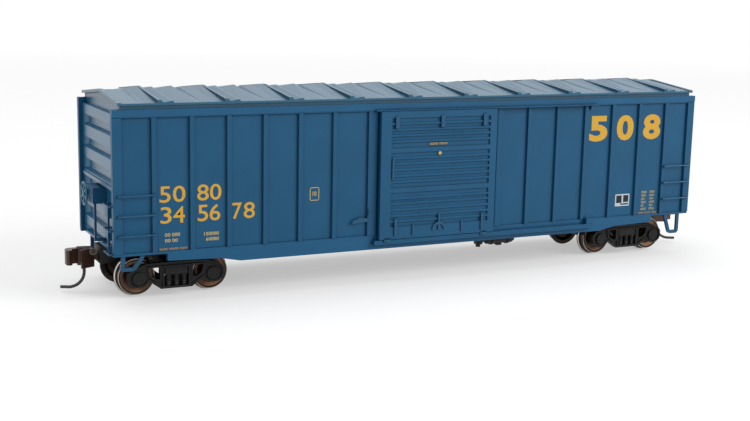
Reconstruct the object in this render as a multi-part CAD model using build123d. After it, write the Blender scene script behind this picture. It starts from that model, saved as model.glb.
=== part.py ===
"""HO scale (1:87) model of a fifty-foot steel boxcar, standing on its wheels.

Millimetres. +X runs along the car with the brake wheel at the -X end, +Z is up, and the
origin is on the floor under the middle of the car, level with the lowest point of the
wheel flanges. Each long side is the other one turned half a turn about Z.
"""

import os

from build123d import *

# Running gear
tread_radius = 4.8
flange_depth = 0.65
flange_width = 0.8
wheel_width = 2.75
wheel_outer_y = 9.9
wheel_dish = 0.8
hub_radius = 1.9
hub_slope = 0.3
hub_recess = 0.1
rim_thickness = 0.6
wheel_bevel = 0.9
axle_radius = 1.15
journal_radius = 0.75
journal_cone = 1.1
tip_radius = 0.12
bearing_clearance = 0.06
bearing_wall = 0.35
wheelbase = 20.0
truck_setback = 18.0

# Body, over the outside
body_length = 182.0
body_width = 38.0
side_bottom = 13.0
side_top = 49.95
plate_height = 2.05
plate_proud = 0.1
plate_bevel = 0.4
sheet_thickness = 0.9
post_depth = 0.7
post_width = 1.2
post_count = 6
post_end_inset = 0.62
corner_post_width = 2.4
sill_top = 13.6
sill_proud = 0.4
end_setback = 1.0
end_sheet_setback = 2.1

# Doorway and door, on the side that faces -Y
doorway_left = -16.9
doorway_right = 17.7
left_post_edge = -20.9
left_post_width = 2.6
right_post_edge = 21.9
right_post_width = 2.0
door_overlap = 1.0
door_thickness = 0.9
door_gap = 0.3
door_rib_height = 0.4
door_bottom = 12.5
door_top_gap = 0.05
fitting_depth = 0.35

# Tracks of the door
track_overrun = 1.3
track_end = 54.0
rail_height = 1.25
rail_proud = 0.1
rail_gap = 0.2
guide_thickness = 0.3
guide_gap = 0.1
stop_x = 51.6
stop_width = 1.6
stop_height = 1.7

# Roof
roof_end_inset = 1.4
eave_overhang = 0.4
eave_gap = 1.0
eave_thickness = 0.55
roof_rise = 2.0
roof_thickness = 0.9
neck_inset = 0.3
end_rim_width = 1.0
end_rim_height = 0.2
seam_count = 10
seam_end_inset = 11.935

# Ends
end_face_gap = 1.45
trough_end_slope = 2.9
trough_low_slope = 0.6
trough_high_slope = 0.15
end_seam_z = 29.3
end_seam_height = 0.9
end_seam_depth = 0.35

# Floor, weight and underframe
floor_thickness = 1.0
weight_thickness = 1.6
weight_inset = 2.4
pan_thickness = 0.6
pan_to_axle = 5.0
centre_sill_width = 3.8
sill_taper = 8.0
deep_sill_z = 7.8
shallow_sill_z = 9.95
bearer_thickness = 1.2
bearer_root = 3.0
bearer_tip = 0.5
body_bolster_width = 4.4
body_bolster_tip = 1.0
body_bolster_gap = 0.4
body_bolster_flat = 5.0
bolster_pad_height = 0.5
centre_plate_radius = 3.0
cover_thickness = 0.7
bearer_step = 0.4

# Trucks
frame_inner_y = 11.2
frame_thickness = 1.5
frame_recess = 0.35
frame_rim = 0.5
bearing_cap_radius = 1.7
bearing_cap_height = 0.2
spring_backing = 0.25
bolster_width = 4.0
bolster_top = 9.4
bolster_bottom = 7.0
bolster_tip_bottom = 5.6
bolster_gap = 0.1
spring_radius = 0.75
spring_pitch = 2.1
spring_top = 5.9
kingpin_radius = 1.0
kingpin_clearance = 0.08
pin_head_radius = 1.8
pin_head_height = 0.8
pin_head_gap = 0.15

# Couplers
coupler_z = 9.6
box_length = 6.8
box_end_inset = 0.2
box_half_width = 3.3
box_wall = 0.6
box_clearance = 0.15
shank_half_width = 1.1
shank_height = 1.5
eye_radius = 1.3
eye_from_mouth = 4.8
post_radius = 0.6
post_clearance = 0.08
head_from_mouth = 1.1
head_length = 3.7
knuckle_length = 3.3
head_bottom = 7.1
head_top = 12.0
shank_seat = 0.5
trip_pin_radius = 0.42

# Steps, rungs and brake wheel
rung_radius = 0.22
side_rung_reach = 0.8
end_rung_reach = 1.0
end_rung_inset = 0.9
end_rung_length = 4.9
stile_width = 0.5
strap_width = 1.0
stirrup_bottom = 6.8
stirrup_inset = 2.6
stirrup_tread = 4.0
stirrup_slant = 2.1
brake_wheel_radius = 3.2
brake_wheel_reach = 2.3
brake_wheel_y = 2.6
brake_wheel_z = 26.1

# Places that follow from the sizes above
axle_z = tread_radius + flange_depth
side_y = body_width / 2
sheet_outer_y = side_y - post_depth
sheet_inner_y = sheet_outer_y - sheet_thickness
plate_y = side_y + plate_proud
sill_y = sheet_outer_y + sill_proud
half_length = body_length / 2
end_face_x = half_length - end_setback
end_sheet_x = half_length - end_sheet_setback
end_inner_x = end_sheet_x - sheet_thickness
eave_bottom = side_top + eave_gap
eave_top = eave_bottom + eave_thickness
ridge_top = eave_top + roof_rise
plate_bottom = side_top - plate_height
door_top = plate_bottom - door_top_gap
end_face_top = side_top - end_face_gap
floor_bottom = sill_top - floor_thickness
pan_top = floor_bottom - weight_thickness
pan_bottom = pan_top - pan_thickness
truck_x = half_length - truck_setback
pan_half_length = truck_x - wheelbase / 2 - pan_to_axle
frame_outer_y = frame_inner_y + frame_thickness
door_left = doorway_left - door_overlap
door_right = doorway_right + door_overlap
door_inner_y = side_y + door_gap
door_skin_y = door_inner_y + door_thickness
door_face_y = door_skin_y + door_rib_height
box_outer = half_length - box_end_inset
box_inner = box_outer - box_length
pivot_x = box_outer - eye_from_mouth
head_back = box_outer + head_from_mouth
head_front = head_back + head_length
knuckle_tip = head_front + knuckle_length


def block(x, y, z):
    """A box between the two limits given for each axis."""
    centre = [(low + high) / 2 for low, high in (x, y, z)]
    size = [abs(high - low) for low, high in (x, y, z)]
    return Pos(*centre) * Box(*size)


def plate_xz(points, y_low, y_high):
    """A plate of the (x, z) outline, from y_low to y_high."""
    face = make_face(Polyline(*points, close=True))
    return extrude(Plane.XZ.offset(-y_high) * face, amount=y_high - y_low)


def plate_yz(points, x_low, x_high):
    """A bar of the (y, z) outline, from x_low to x_high."""
    face = make_face(Polyline(*points, close=True))
    return extrude(Plane.YZ.offset(x_low) * face, amount=x_high - x_low)


def plate_xy(points, z_low, z_high):
    """A plate of the (x, y) outline, from z_low to z_high."""
    face = make_face(Polyline(*points, close=True))
    return extrude(Plane.XY.offset(z_low) * face, amount=z_high - z_low)


def turned(points):
    """A solid turned about Y from its (radius, y) outline."""
    return revolve(make_face(Polyline(*points, close=True)), axis=Axis.Y)


def rod_x(centre, radius, length):
    """A round bar along X."""
    return Pos(*centre) * Rot(0, 90, 0) * Cylinder(radius, length)


def rod_y(centre, radius, length):
    """A round bar along Y."""
    return Pos(*centre) * Rot(90, 0, 0) * Cylinder(radius, length)


def half_turn(part):
    """The same piece on the other side of the car."""
    return Rot(0, 0, 180) * part


def across(part):
    """The piece mirrored to the other side of the car."""
    return mirror(part, about=Plane.XZ)


def along(part):
    """The piece mirrored to the other end of the car."""
    return mirror(part, about=Plane.YZ)


def group(*parts):
    """Several separate solids of one node."""
    return Compound(children=[solid for part in parts for solid in part.solids()])


drawn_height = 36.95


def level(z):
    """Height of a feature of an end or a door, kept in its share of the side's height."""
    return side_bottom + (z - side_bottom) * (side_top - side_bottom) / drawn_height


# Side of the car that faces -Y

def side_panel(inner_x, post_edge, door_post_width, sign):
    """Sheet, posts and corner post between the doorway and one end."""
    def span(a, b):
        return sorted((sign * a, sign * b))

    z = (sill_top, plate_bottom)
    corner_x = half_length - corner_post_width
    panel = block(span(inner_x, corner_x), (-sheet_outer_y, -sheet_inner_y), z)
    panel += block(span(corner_x, half_length), (-side_y, -sheet_inner_y), z)
    door_post = span(post_edge - door_post_width, post_edge)
    panel += block(door_post, (-side_y, -sheet_outer_y), z)
    for x in post_places():
        post = span(x - post_width / 2, x + post_width / 2)
        panel += block(post, (-side_y, -sheet_outer_y), z)
    return panel


def post_places():
    """Distance of each post from the middle, evenly from the door post to the corner."""
    start = -left_post_edge
    pitch = (half_length - post_end_inset - start) / (post_count + 1)
    return [start + (index + 1) * pitch for index in range(post_count)]


def side_panels():
    left = side_panel(-doorway_left, -left_post_edge, left_post_width, -1)
    right = side_panel(doorway_right, right_post_edge, right_post_width, 1)
    return group(left, right)


sill_drops = (  # distance past the truck's centre, drop under the side's bottom
    (4.1, 0.0),
    (4.1, 1.9),
    (-10.0, 2.3),
    (-15.5, 3.4),
)


def side_sill():
    """Sill with its deep middle, which rises towards both trucks."""
    outline = [(half_length, sill_top), (half_length, side_bottom)]
    outline += [(truck_x + past, side_bottom - drop) for past, drop in sill_drops]
    points = outline + [(-x, z) for x, z in reversed(outline)]
    return plate_xz(points, -sill_y, -sheet_inner_y)


def side_plate():
    """Plate along the top of the side, with a bevel under its face."""
    profile = [(-sheet_inner_y, plate_bottom), (-plate_y + plate_bevel / 2, plate_bottom),
               (-plate_y, plate_bottom + plate_bevel), (-plate_y, side_top),
               (-sheet_inner_y, side_top)]
    return plate_yz(profile, -half_length, half_length)


# Ends, drawn at the +X end

end_troughs = (  # bottom, top of each trough between two ribs
    (42.9, 45.8),
    (36.9, 39.8),
    (30.7, 34.0),
    (24.1, 29.0),
    (18.1, 21.4),
    (13.6, 15.6),
)
ladder_pocket = (10.0, 13.6, 28.9)  # distance from the middle, bottom, top


def end_wall():
    """Sheet behind a ribbed face, with its seam and the flat pocket behind the ladder."""
    width = (-sheet_inner_y, sheet_inner_y)
    wall = block((end_inner_x, end_sheet_x), width, (side_bottom, side_top))
    wall += block((end_sheet_x, end_face_x), width, (side_bottom, end_face_top))
    for bottom, top in end_troughs:
        wall -= end_trough(level(bottom), level(top))
    pocket_y, bottom, top = ladder_pocket
    wall -= block((end_sheet_x, end_face_x), (pocket_y, sheet_inner_y), (level(bottom), level(top)))
    seam_z = level(end_seam_z)
    return wall + block((end_face_x, end_face_x + end_seam_depth), width,
                        (seam_z, seam_z + end_seam_height))


def end_trough(bottom, top):
    """Hollow between two ribs: sharp above, sloped below and at both ends."""
    mouth = Plane((end_face_x, 0, (bottom + top) / 2), x_dir=(0, 1, 0), z_dir=(1, 0, 0))
    floor_length = 2 * (sheet_inner_y - trough_end_slope)
    floor_height = top - bottom - trough_low_slope - trough_high_slope
    lift = (trough_low_slope - trough_high_slope) / 2
    return loft([mouth * Rectangle(2 * sheet_inner_y, top - bottom),
                 mouth.offset(end_sheet_x - end_face_x) * Pos(0, lift)
                 * Rectangle(floor_length, floor_height)])


# Roof

roof_half_length = half_length - roof_end_inset
roof_half_width = side_y + eave_overhang
slope_drop = ridge_top - eave_top
seam_pitch = 2 * (half_length - seam_end_inset) / (seam_count - 1)
drawn_pitch = 17.57
form_sink = 0.2
seam_profile = (  # distance past the seam line, height over the panel
    (-0.4, 0.8),
    (0.35, 0.8),
    (1.2, 0.1),
    (3.0, 0.5),
    (3.6, 0.5),
    (3.9, 0.0),
)
crease_forms = (  # for each raised form: (x, height) along the ridge, then x along the eave
    (((3.9, 0.0), (8.8, 0.7), (9.9, 0.0)), (3.9, 9.3, 11.2)),
    (((9.9, 0.0), (10.7, 0.35), (14.3, 0.5), (17.1, 0.78)), (11.2, 11.2, 14.3, 17.1)),
)
end_form = (((-4.9, 0.0), (-3.5, 0.35), (-0.4, 0.78)), (-4.9, -3.5, -0.4))


def on_slope(x, share, height):
    """A point of the -Y slope: share is 0 at the ridge and 1 at the eave."""
    return (x, -share * roof_half_width, ridge_top - share * slope_drop + height)


def down_slope(x, profile):
    """Bar of one section from the ridge to the eave, such as a double standing seam."""
    points = [(x + profile[0][0], ridge_top - form_sink)]
    points += [(x + past, ridge_top + height) for past, height in profile]
    points.append((x + profile[-1][0], ridge_top - form_sink))
    face = Plane.XZ * make_face(Polyline(*points, close=True))
    down = Vector(0, -roof_half_width, -slope_drop)
    return extrude(face, amount=down.length, dir=down.normalized())


def raised_form(x, ridge_points, eave_places):
    """Pressed form that stands up at the ridge and dies out at the eave."""
    scale = seam_pitch / drawn_pitch
    ridge_points = [(scale * a, h) for a, h in ridge_points]
    eave_places = [scale * a for a in eave_places]
    ridge = [on_slope(x + a, 0, h) for a, h in ridge_points]
    eave = [on_slope(x + a, 1, 0) for a in eave_places]
    ridge_foot = [on_slope(x + ridge_points[i][0], 0, -form_sink) for i in (0, -1)]
    eave_foot = [on_slope(x + eave_places[i], 1, -form_sink) for i in (0, -1)]
    triangles = []
    for i in range(len(ridge) - 1):
        triangles.append((ridge[i], ridge[i + 1], eave[i]))
        if eave_places[i] != eave_places[i + 1]:
            triangles.append((ridge[i + 1], eave[i + 1], eave[i]))
    outlines = triangles + [
        [ridge_foot[0]] + ridge + [ridge_foot[1]],
        [eave_foot[0]] + sorted(set(eave)) + [eave_foot[1]],
        [ridge_foot[0], ridge[0], eave[0], eave_foot[0]],
        [ridge_foot[1], ridge[-1], eave[-1], eave_foot[1]],
        [ridge_foot[0], ridge_foot[1], eave_foot[1], eave_foot[0]],
    ]
    faces = [Face(Wire.make_polygon(outline, close=True)) for outline in outlines]
    return Solid(Shell(faces))


def roof():
    """Low gabled sheet on a narrower neck, with seams and creased panels."""
    slab = [(-roof_half_width, eave_bottom), (-roof_half_width, eave_top), (0, ridge_top),
            (roof_half_width, eave_top), (roof_half_width, eave_bottom),
            (0, ridge_top - eave_thickness)]
    shell = plate_yz(slab, -roof_half_length, roof_half_length)
    neck_y = side_y - neck_inset
    neck_sink = eave_thickness / 2
    neck = [(-neck_y, side_top), (-neck_y, eave_top - neck_sink), (0, ridge_top - neck_sink),
            (neck_y, eave_top - neck_sink), (neck_y, side_top)]
    shell += plate_yz(neck, -end_sheet_x, end_sheet_x)
    inner_eave = eave_top + slope_drop * (1 - sheet_inner_y / roof_half_width) - roof_thickness
    hollow = [(-sheet_inner_y, side_top), (-sheet_inner_y, inner_eave),
              (0, ridge_top - roof_thickness), (sheet_inner_y, inner_eave),
              (sheet_inner_y, side_top)]
    shell -= plate_yz(hollow, -end_inner_x, end_inner_x)

    first = -(seam_count - 1) / 2 * seam_pitch
    rim = down_slope(-roof_half_length, ((0.0, end_rim_height), (end_rim_width, end_rim_height)))
    forms = [rim, along(rim), raised_form(first, *end_form)]
    for index in range(seam_count):
        x = first + index * seam_pitch
        forms.append(down_slope(x, seam_profile))
        if index < seam_count - 1:
            forms += [raised_form(x, *form) for form in crease_forms]
    return shell + forms + [across(form) for form in forms]


# Floor and underframe

def floor():
    return block((-end_inner_x, end_inner_x), (-sheet_inner_y, sheet_inner_y),
                 (floor_bottom, sill_top))


def weight():
    half_width = sheet_inner_y - weight_inset
    return block((-pan_half_length, pan_half_length), (-half_width, half_width),
                 (pan_top, floor_bottom))


def underframe_pan():
    return block((-pan_half_length, pan_half_length), (-sheet_inner_y, sheet_inner_y),
                 (pan_bottom, pan_top))


def centre_sill():
    half = pan_half_length
    outline = [(half, pan_bottom), (half, shallow_sill_z), (half - sill_taper, deep_sill_z),
               (sill_taper - half, deep_sill_z), (-half, shallow_sill_z), (-half, pan_bottom)]
    return plate_xz(outline, -centre_sill_width / 2, centre_sill_width / 2)


cover_plate = (-10.5, 4.0)  # from the truck's centre, inward end and outward end


def body_bolsters():
    """The cross beam over each truck, its cover plate, centre plate and draft sill."""
    tip_y = sheet_inner_y - body_bolster_gap
    tip_z = floor_bottom - body_bolster_tip
    pad_bottom = shallow_sill_z + bolster_pad_height
    beam = plate_yz([(-tip_y, floor_bottom), (-tip_y, tip_z), (-body_bolster_flat, pad_bottom),
                     (body_bolster_flat, pad_bottom), (tip_y, tip_z), (tip_y, floor_bottom)],
                    -body_bolster_width / 2, body_bolster_width / 2)
    one = beam + block(cover_plate, (-tip_y, tip_y), (floor_bottom - cover_thickness, floor_bottom))
    plate_z = bolster_top + bolster_gap
    one += Pos(0, 0, (plate_z + pad_bottom) / 2) * Cylinder(centre_plate_radius, pad_bottom - plate_z)
    one += block((pan_half_length - truck_x, box_inner - truck_x),
                 (-centre_sill_width / 2, centre_sill_width / 2), (pad_bottom, floor_bottom))
    one -= Pos(0, 0, (plate_z + floor_bottom) / 2) * Cylinder(kingpin_radius, floor_bottom)
    return group(Pos(truck_x, 0, 0) * one, Pos(-truck_x, 0, 0) * Rot(0, 0, 180) * one)


bearer_places = (-44.0, -17.5, 17.5, 44.0)


def cross_bearers():
    """Tapered beams under the pan, from the centre sill out to each side."""
    inner = centre_sill_width / 2
    root_z = deep_sill_z + bearer_step
    outline = [(inner, pan_bottom), (inner, root_z), (inner + bearer_root, root_z),
               (sheet_inner_y, pan_bottom - bearer_tip), (sheet_inner_y, pan_bottom)]
    beams = []
    for x in bearer_places:
        beam = plate_yz(outline, x - bearer_thickness / 2, x + bearer_thickness / 2)
        beams += [beam, across(beam)]
    return group(*beams)


def kingpins():
    """Screw through each truck bolster, up into the body."""
    head_top = bolster_bottom - pin_head_gap
    length = floor_bottom - head_top
    pin = Pos(0, 0, head_top + length / 2) * Cylinder(kingpin_radius, length)
    head_middle = head_top - pin_head_height / 2
    pin += Pos(0, 0, head_middle) * Cylinder(pin_head_radius, pin_head_height)
    return group(Pos(truck_x, 0, 0) * pin, Pos(-truck_x, 0, 0) * pin)


# Air brake gear under the floor

reservoir_place = (28.6, -7.5, 7.75)
reservoir_radius = 2.0
reservoir_length = 9.4
reservoir_rounding = 0.7
band_reach = 2.7
band_width = 0.7
band_height = 0.25
hanger_width = 2.2
drain_width = 1.6
drain_drop = 0.5
outlet_place = (4.9, -0.9)  # along the tank, then below its middle
outlet_radius = 0.7
outlet_length = 0.9


def air_reservoir():
    """Tank along the car with two bands and their hangers."""
    x, y, z = reservoir_place
    radius = reservoir_radius
    seat = 0.75 * radius
    tank = fillet(rod_x((x, y, z), radius, reservoir_length).edges(), reservoir_rounding)
    for band_x in (x - band_reach, x + band_reach):
        tank += rod_x((band_x, y, z), radius + band_height, band_width)
        tank += block((band_x - band_width / 2, band_x + band_width / 2),
                      (y - hanger_width / 2, y + hanger_width / 2), (z + seat, pan_bottom))
    tank += block((x - drain_width / 2, x + drain_width / 2),
                  (y - drain_width / 2, y + drain_width / 2), (z - radius - drain_drop, z - seat))
    tank += rod_x((x + outlet_place[0], y, z + outlet_place[1]), outlet_radius, outlet_length)
    return tank


cylinder_place = (-24.0, 7.0, 7.9)
cylinder_parts = (  # distance along the car from the cylinder's middle, radius, length
    (0.0, 1.9, 7.0),
    (3.8, 2.3, 0.8),
    (-5.5, 0.4, 4.4),
)
cylinder_bracket = (3.2, 2.4, 1.4)  # length, width, height of its foot over the middle


def brake_cylinder():
    """Cylinder with its flange and push rod, on a bracket."""
    x, y, z = cylinder_place
    length, width, foot = cylinder_bracket
    body, flange, rod = [rod_x((x + past, y, z), radius, part_length)
                         for past, radius, part_length in cylinder_parts]
    body += flange
    body += rod
    body += block((x - length / 2, x + length / 2), (y - width / 2, y + width / 2),
                  (z + foot, pan_bottom))
    return body


valve_place = (21.6, -7.6, 7.3)
valve_width = 1.8
valve_depth = 2.0
valve_foot = 1.3
cover_radius = 0.9
cover_span = 3.4
cap_radius = 0.7
cap_height = 1.0
cap_drop = 1.6


def control_valve():
    """Valve body with its two round covers, beside the tank."""
    x, y, z = valve_place
    body = block((x - valve_width / 2, x + valve_width / 2), (y - valve_depth / 2, y + valve_depth / 2),
                 (z - valve_foot, pan_bottom))
    body += rod_y((x, y, z), cover_radius, cover_span)
    body += Pos(x, y, z - cap_drop) * Cylinder(cap_radius, cap_height)
    return body


# Couplers and their boxes, drawn at the -X end

def coupler_box():
    """Open-mouthed draft gear box with the post that the coupler swings on."""
    low = coupler_z - shank_height / 2 - box_clearance
    high = coupler_z + shank_height / 2 + box_clearance
    box = block((-box_outer, -box_inner), (-box_half_width, box_half_width),
                (low - box_wall, floor_bottom))
    box -= block((-box_outer, -box_inner - box_wall),
                 (-box_half_width + box_wall, box_half_width - box_wall), (low, high))
    box += Pos(-pivot_x, 0, (low + high) / 2) * Cylinder(post_radius, high - low)
    return box


head_outline = (  # distance behind the head's front, y
    (head_length, -1.5),
    (0.0, -3.1),
    (0.0, -2.1),
    (1.2, -0.9),
    (1.2, 1.1),
    (0.0, 1.4),
    (0.0, 2.9),
    (head_length, 1.9),
)
knuckle_outline = (  # distance behind the knuckle's tip, y
    (knuckle_length, 1.3),
    (1.7, 1.1),
    (1.5, -0.5),
    (0.6, -0.9),
    (0.0, -0.2),
    (0.0, 1.8),
    (0.9, 2.9),
    (knuckle_length, 2.9),
)
knuckle_lift = 0.6
knuckle_drop = 0.3
ear_place = (0.4, -1.6, 0.7)  # past the head's back, y, below its top
ear_radius = 1.0
ear_length = 0.9


def coupler():
    """Shank, head with its guard arm, knuckle and the curved trip pin."""
    shank = block((-head_back - shank_seat, -pivot_x), (-shank_half_width, shank_half_width),
                  (coupler_z - shank_height / 2, coupler_z + shank_height / 2))
    shank += Pos(-pivot_x, 0, coupler_z) * Cylinder(eye_radius, shank_height)
    shank -= Pos(-pivot_x, 0, coupler_z) * Cylinder(post_radius + post_clearance, shank_height + 1)
    head = plate_xy([(behind - head_front, y) for behind, y in head_outline], head_bottom, head_top)
    past, ear_y, below = ear_place
    head += rod_y((-head_back - past, ear_y, head_top - below), ear_radius, ear_length)
    knuckle = plate_xy([(behind - knuckle_tip, y) for behind, y in knuckle_outline],
                       head_bottom + knuckle_lift, head_top - knuckle_drop)
    return shank + head + knuckle + trip_pin()


trip_pin_low = 1.35
trip_pin_bend = 4.4
trip_pin_reach = 6.4
trip_pin_turn = 152
trip_pin_sink = 0.2
trip_pin_from_back = 2.4


def trip_pin():
    """Wire that drops from the head, bends and runs out to the side."""
    top = head_bottom + trip_pin_sink
    route = FilletPolyline((0, top), (0, trip_pin_low), (trip_pin_reach, trip_pin_low),
                           radius=trip_pin_bend)
    start = Plane((0, top), x_dir=(1, 0, 0), z_dir=(0, -1, 0))
    wire = Rot(90, 0, 0) * sweep(start * Circle(trip_pin_radius), path=route)
    return Pos(-head_back - trip_pin_from_back, 0, 0) * Rot(0, 0, trip_pin_turn) * wire


# Door

door_bars = (  # bottom, top of the plain bars of the door's frame
    (door_bottom, level(15.9)),
    (level(25.4), level(26.75)),
    (level(36.5), level(37.75)),
    (level(46.0), door_top),
)
door_ribs = (  # height of the lower edge of each rib, field by field
    17.0, 18.5, 20.2, 21.95, 23.4,
    28.0, 29.65, 31.35, 33.0, 34.55,
    39.15, 40.8, 42.4, 44.05,
)
door_rib_profile = (  # height over the rib's lower edge, share of its depth
    (0.0, 0.0),
    (0.15, 1.0),
    (0.6, 1.0),
    (0.95, 0.0),
)
door_field_inset = 3.2
door_field_right_inset = 2.2


def door():
    """Frame with two middle bars, and three fields of pressed ribs set back in it."""
    field = (door_left + door_field_inset, door_right - door_field_right_inset)
    y = (-door_face_y, -door_inner_y)
    panel = block((door_left, door_right), (-door_skin_y, -door_inner_y), (door_bottom, door_top))
    for x in ((door_left, field[0]), (field[1], door_right)):
        panel += block(x, y, (door_bottom, door_top))
    for bar in door_bars:
        panel += block((door_left, door_right), y, bar)
    for bottom in door_ribs:
        outline = [(-door_skin_y - share * door_rib_height, level(bottom) + up)
                   for up, share in door_rib_profile]
        outline += [(-door_inner_y, outline[-1][1]), (-door_inner_y, level(bottom))]
        panel += plate_yz(outline, *field)
    return panel


door_brackets = (  # x, half width, bottom, top
    (-13.1, 0.6, 43.2, 46.6),
    (1.0, 0.6, 43.2, 46.6),
    (14.6, 0.6, 43.2, 46.6),
    (-13.1, 0.4, 13.4, 18.2),
    (-7.6, 0.3, 13.4, 16.2),
    (8.0, 0.3, 13.4, 16.2),
    (14.6, 0.4, 13.4, 18.2),
    (-14.2, 0.3, 29.4, 35.2),
)
lever_x = 0.6
lever_z = 14.4
lever_radius = 2.2
lever_width = 0.7
lever_bar_width = 0.6
lever_bar_height = 4.6


def door_fittings():
    """Brackets, latch bar and opening lever on the face of the door."""
    y = (-door_face_y - fitting_depth, -door_face_y)
    pieces = []
    for x, half, low, high in door_brackets:
        pieces.append(block((x - half, x + half), y, (level(low), level(high))))
    lever = rod_y((lever_x, sum(y) / 2, lever_z), lever_radius, fitting_depth)
    lever -= rod_y((lever_x, sum(y) / 2, lever_z), lever_radius - lever_width, fitting_depth)
    below = (lever_z - lever_radius, lever_z)
    lever -= block((lever_x - lever_radius, lever_x + lever_radius), y, below)
    lever += block((lever_x - lever_bar_width / 2, lever_x + lever_bar_width / 2), y,
                   (lever_z, lever_z + lever_bar_height))
    pieces.append(lever)
    return group(*pieces)


def door_tracks():
    """Bottom rail with its stop, and the thin guide and stop under the plate."""
    start = door_left - track_overrun
    rail_top = door_bottom - rail_gap
    rail = block((start, track_end), (-door_skin_y - rail_proud, -sill_y),
                 (rail_top - rail_height, rail_top))
    rail += block((stop_x, stop_x + stop_width), (-door_skin_y, -sill_y),
                  (rail_top, rail_top + stop_height))
    guide = block((start, track_end), (-door_skin_y - rail_proud, -plate_y),
                  (door_top + guide_gap, door_top + guide_gap + guide_thickness))
    return group(rail, guide)


# Steps, rungs and brake wheel

side_rung_heights = (18.2, 23.3, 28.4)
end_rung_heights = (13.6, 19.6, 25.8)


def side_rungs():
    """Grab irons between the corner post and the next post, at all four corners."""
    outer = half_length - corner_post_width / 2
    inner = post_places()[-1]
    bar_y = -side_y - side_rung_reach + rung_radius
    pieces = []
    for z in side_rung_heights:
        rung = rod_x(((outer + inner) / 2, bar_y, z), rung_radius, outer - inner + 2 * rung_radius)
        for x in (inner, outer):
            rung += block((x - rung_radius, x + rung_radius), (bar_y, -side_y),
                          (z - rung_radius, z + rung_radius))
        pieces += [rung, across(rung), along(rung), across(along(rung))]
    return group(*pieces)


def end_rungs():
    """Ladder beside the corner at each end: grab irons and the stile at their inner ends."""
    bar_x = half_length + end_rung_reach
    outer = side_y - end_rung_inset
    inner = outer - end_rung_length
    ladder = block((half_length - stile_width, half_length), (inner - stile_width, inner),
                   (side_bottom, end_rung_heights[-1] + stile_width))
    for z in end_rung_heights:
        ladder += rod_y((bar_x, (inner + outer) / 2, z), rung_radius,
                        outer - inner + 2 * rung_radius)
        for y, foot_x in ((inner - rung_radius, end_inner_x), (outer, half_length)):
            ladder += block((foot_x, bar_x), (y - rung_radius, y + rung_radius),
                            (z - rung_radius, z + rung_radius))
    ladder -= end_wall()
    return group(ladder, half_turn(ladder))


def stirrup_steps():
    """Bent strap step under each corner."""
    outer_x = half_length - stirrup_inset
    corner_x = outer_x - stirrup_tread
    inner_x = corner_x - stirrup_slant
    rise = stirrup_bottom + strap_width
    step = plate_xz([(outer_x, side_bottom), (outer_x, stirrup_bottom),
                     (corner_x, stirrup_bottom), (inner_x, side_bottom),
                     (inner_x + strap_width, side_bottom), (corner_x + 0.8 * strap_width, rise),
                     (outer_x - strap_width, rise), (outer_x - strap_width, side_bottom)],
                    -sheet_outer_y, -sheet_inner_y)
    return group(step, across(step), along(step), across(along(step)))


brake_wheel_x = -half_length - brake_wheel_reach
brake_ring_radius = 0.25
brake_hub_length = 0.6
brake_hub_radius = 0.8
spoke_width = 0.5
spoke_thickness = 0.3
brake_shaft_radius = 0.4
housing_clearance = 0.8
housing_y = (-6.4, 1.6)  # from the wheel's centre
housing_z = (-1.9, 2.3)
chain_y = (-5.0, -4.5)
chain_x = (0.6, 1.2)  # from the housing's front
chain_bottom = 14.0
chain_foot = 0.8


def brake_wheel():
    """Wheel with a round rim, hub and six spokes."""
    wheel = Torus(brake_wheel_radius - brake_ring_radius, brake_ring_radius)
    wheel += Cylinder(brake_hub_radius, brake_hub_length)
    for angle in (0, 60, 120):
        wheel += Rot(0, 0, angle) * Box(2 * brake_wheel_radius - brake_ring_radius, spoke_width,
                                        spoke_thickness)
    return Pos(brake_wheel_x, brake_wheel_y, brake_wheel_z) * Rot(0, 90, 0) * wheel


def brake_housing():
    """Gear housing behind the wheel, fitted over the end's ribs, with its chain rod."""
    front_x = brake_wheel_x + housing_clearance
    low, high = [brake_wheel_z + reach for reach in housing_z]
    housing = block((front_x, -end_inner_x), [brake_wheel_y + reach for reach in housing_y],
                    (low, high))
    shaft_length = housing_clearance - brake_hub_length / 2
    housing += rod_x((front_x - shaft_length / 2, brake_wheel_y, brake_wheel_z),
                     brake_shaft_radius, shaft_length)
    rod_x_limits = [front_x + reach for reach in chain_x]
    rod_y_limits = [brake_wheel_y + reach for reach in chain_y]
    chain_rod = block(rod_x_limits, rod_y_limits, (chain_bottom, low))
    chain_rod += block((rod_x_limits[0], -end_inner_x), rod_y_limits,
                       (chain_bottom, chain_bottom + chain_foot))
    return housing + chain_rod - half_turn(end_wall())


# Trucks, drawn about their own centre at x = 0

frame_outline = (  # half of the outline: distance from the middle, height
    (4.0, 9.35),
    (8.2, 9.2),
    (11.9, 7.9),
    (12.9, 6.9),
    (13.1, 5.4),
    (12.6, 4.0),
    (11.5, 3.2),
    (10.0, 3.0),
    (8.5, 3.3),
    (7.3, 4.5),
    (4.2, 2.3),
)
frame_window = ((4.4, 8.1), (7.4, 8.0), (6.9, 6.0), (5.6, 5.0), (4.4, 4.9))
spring_opening = (3.3, 2.9, 7.9)  # half width, bottom, top


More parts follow.
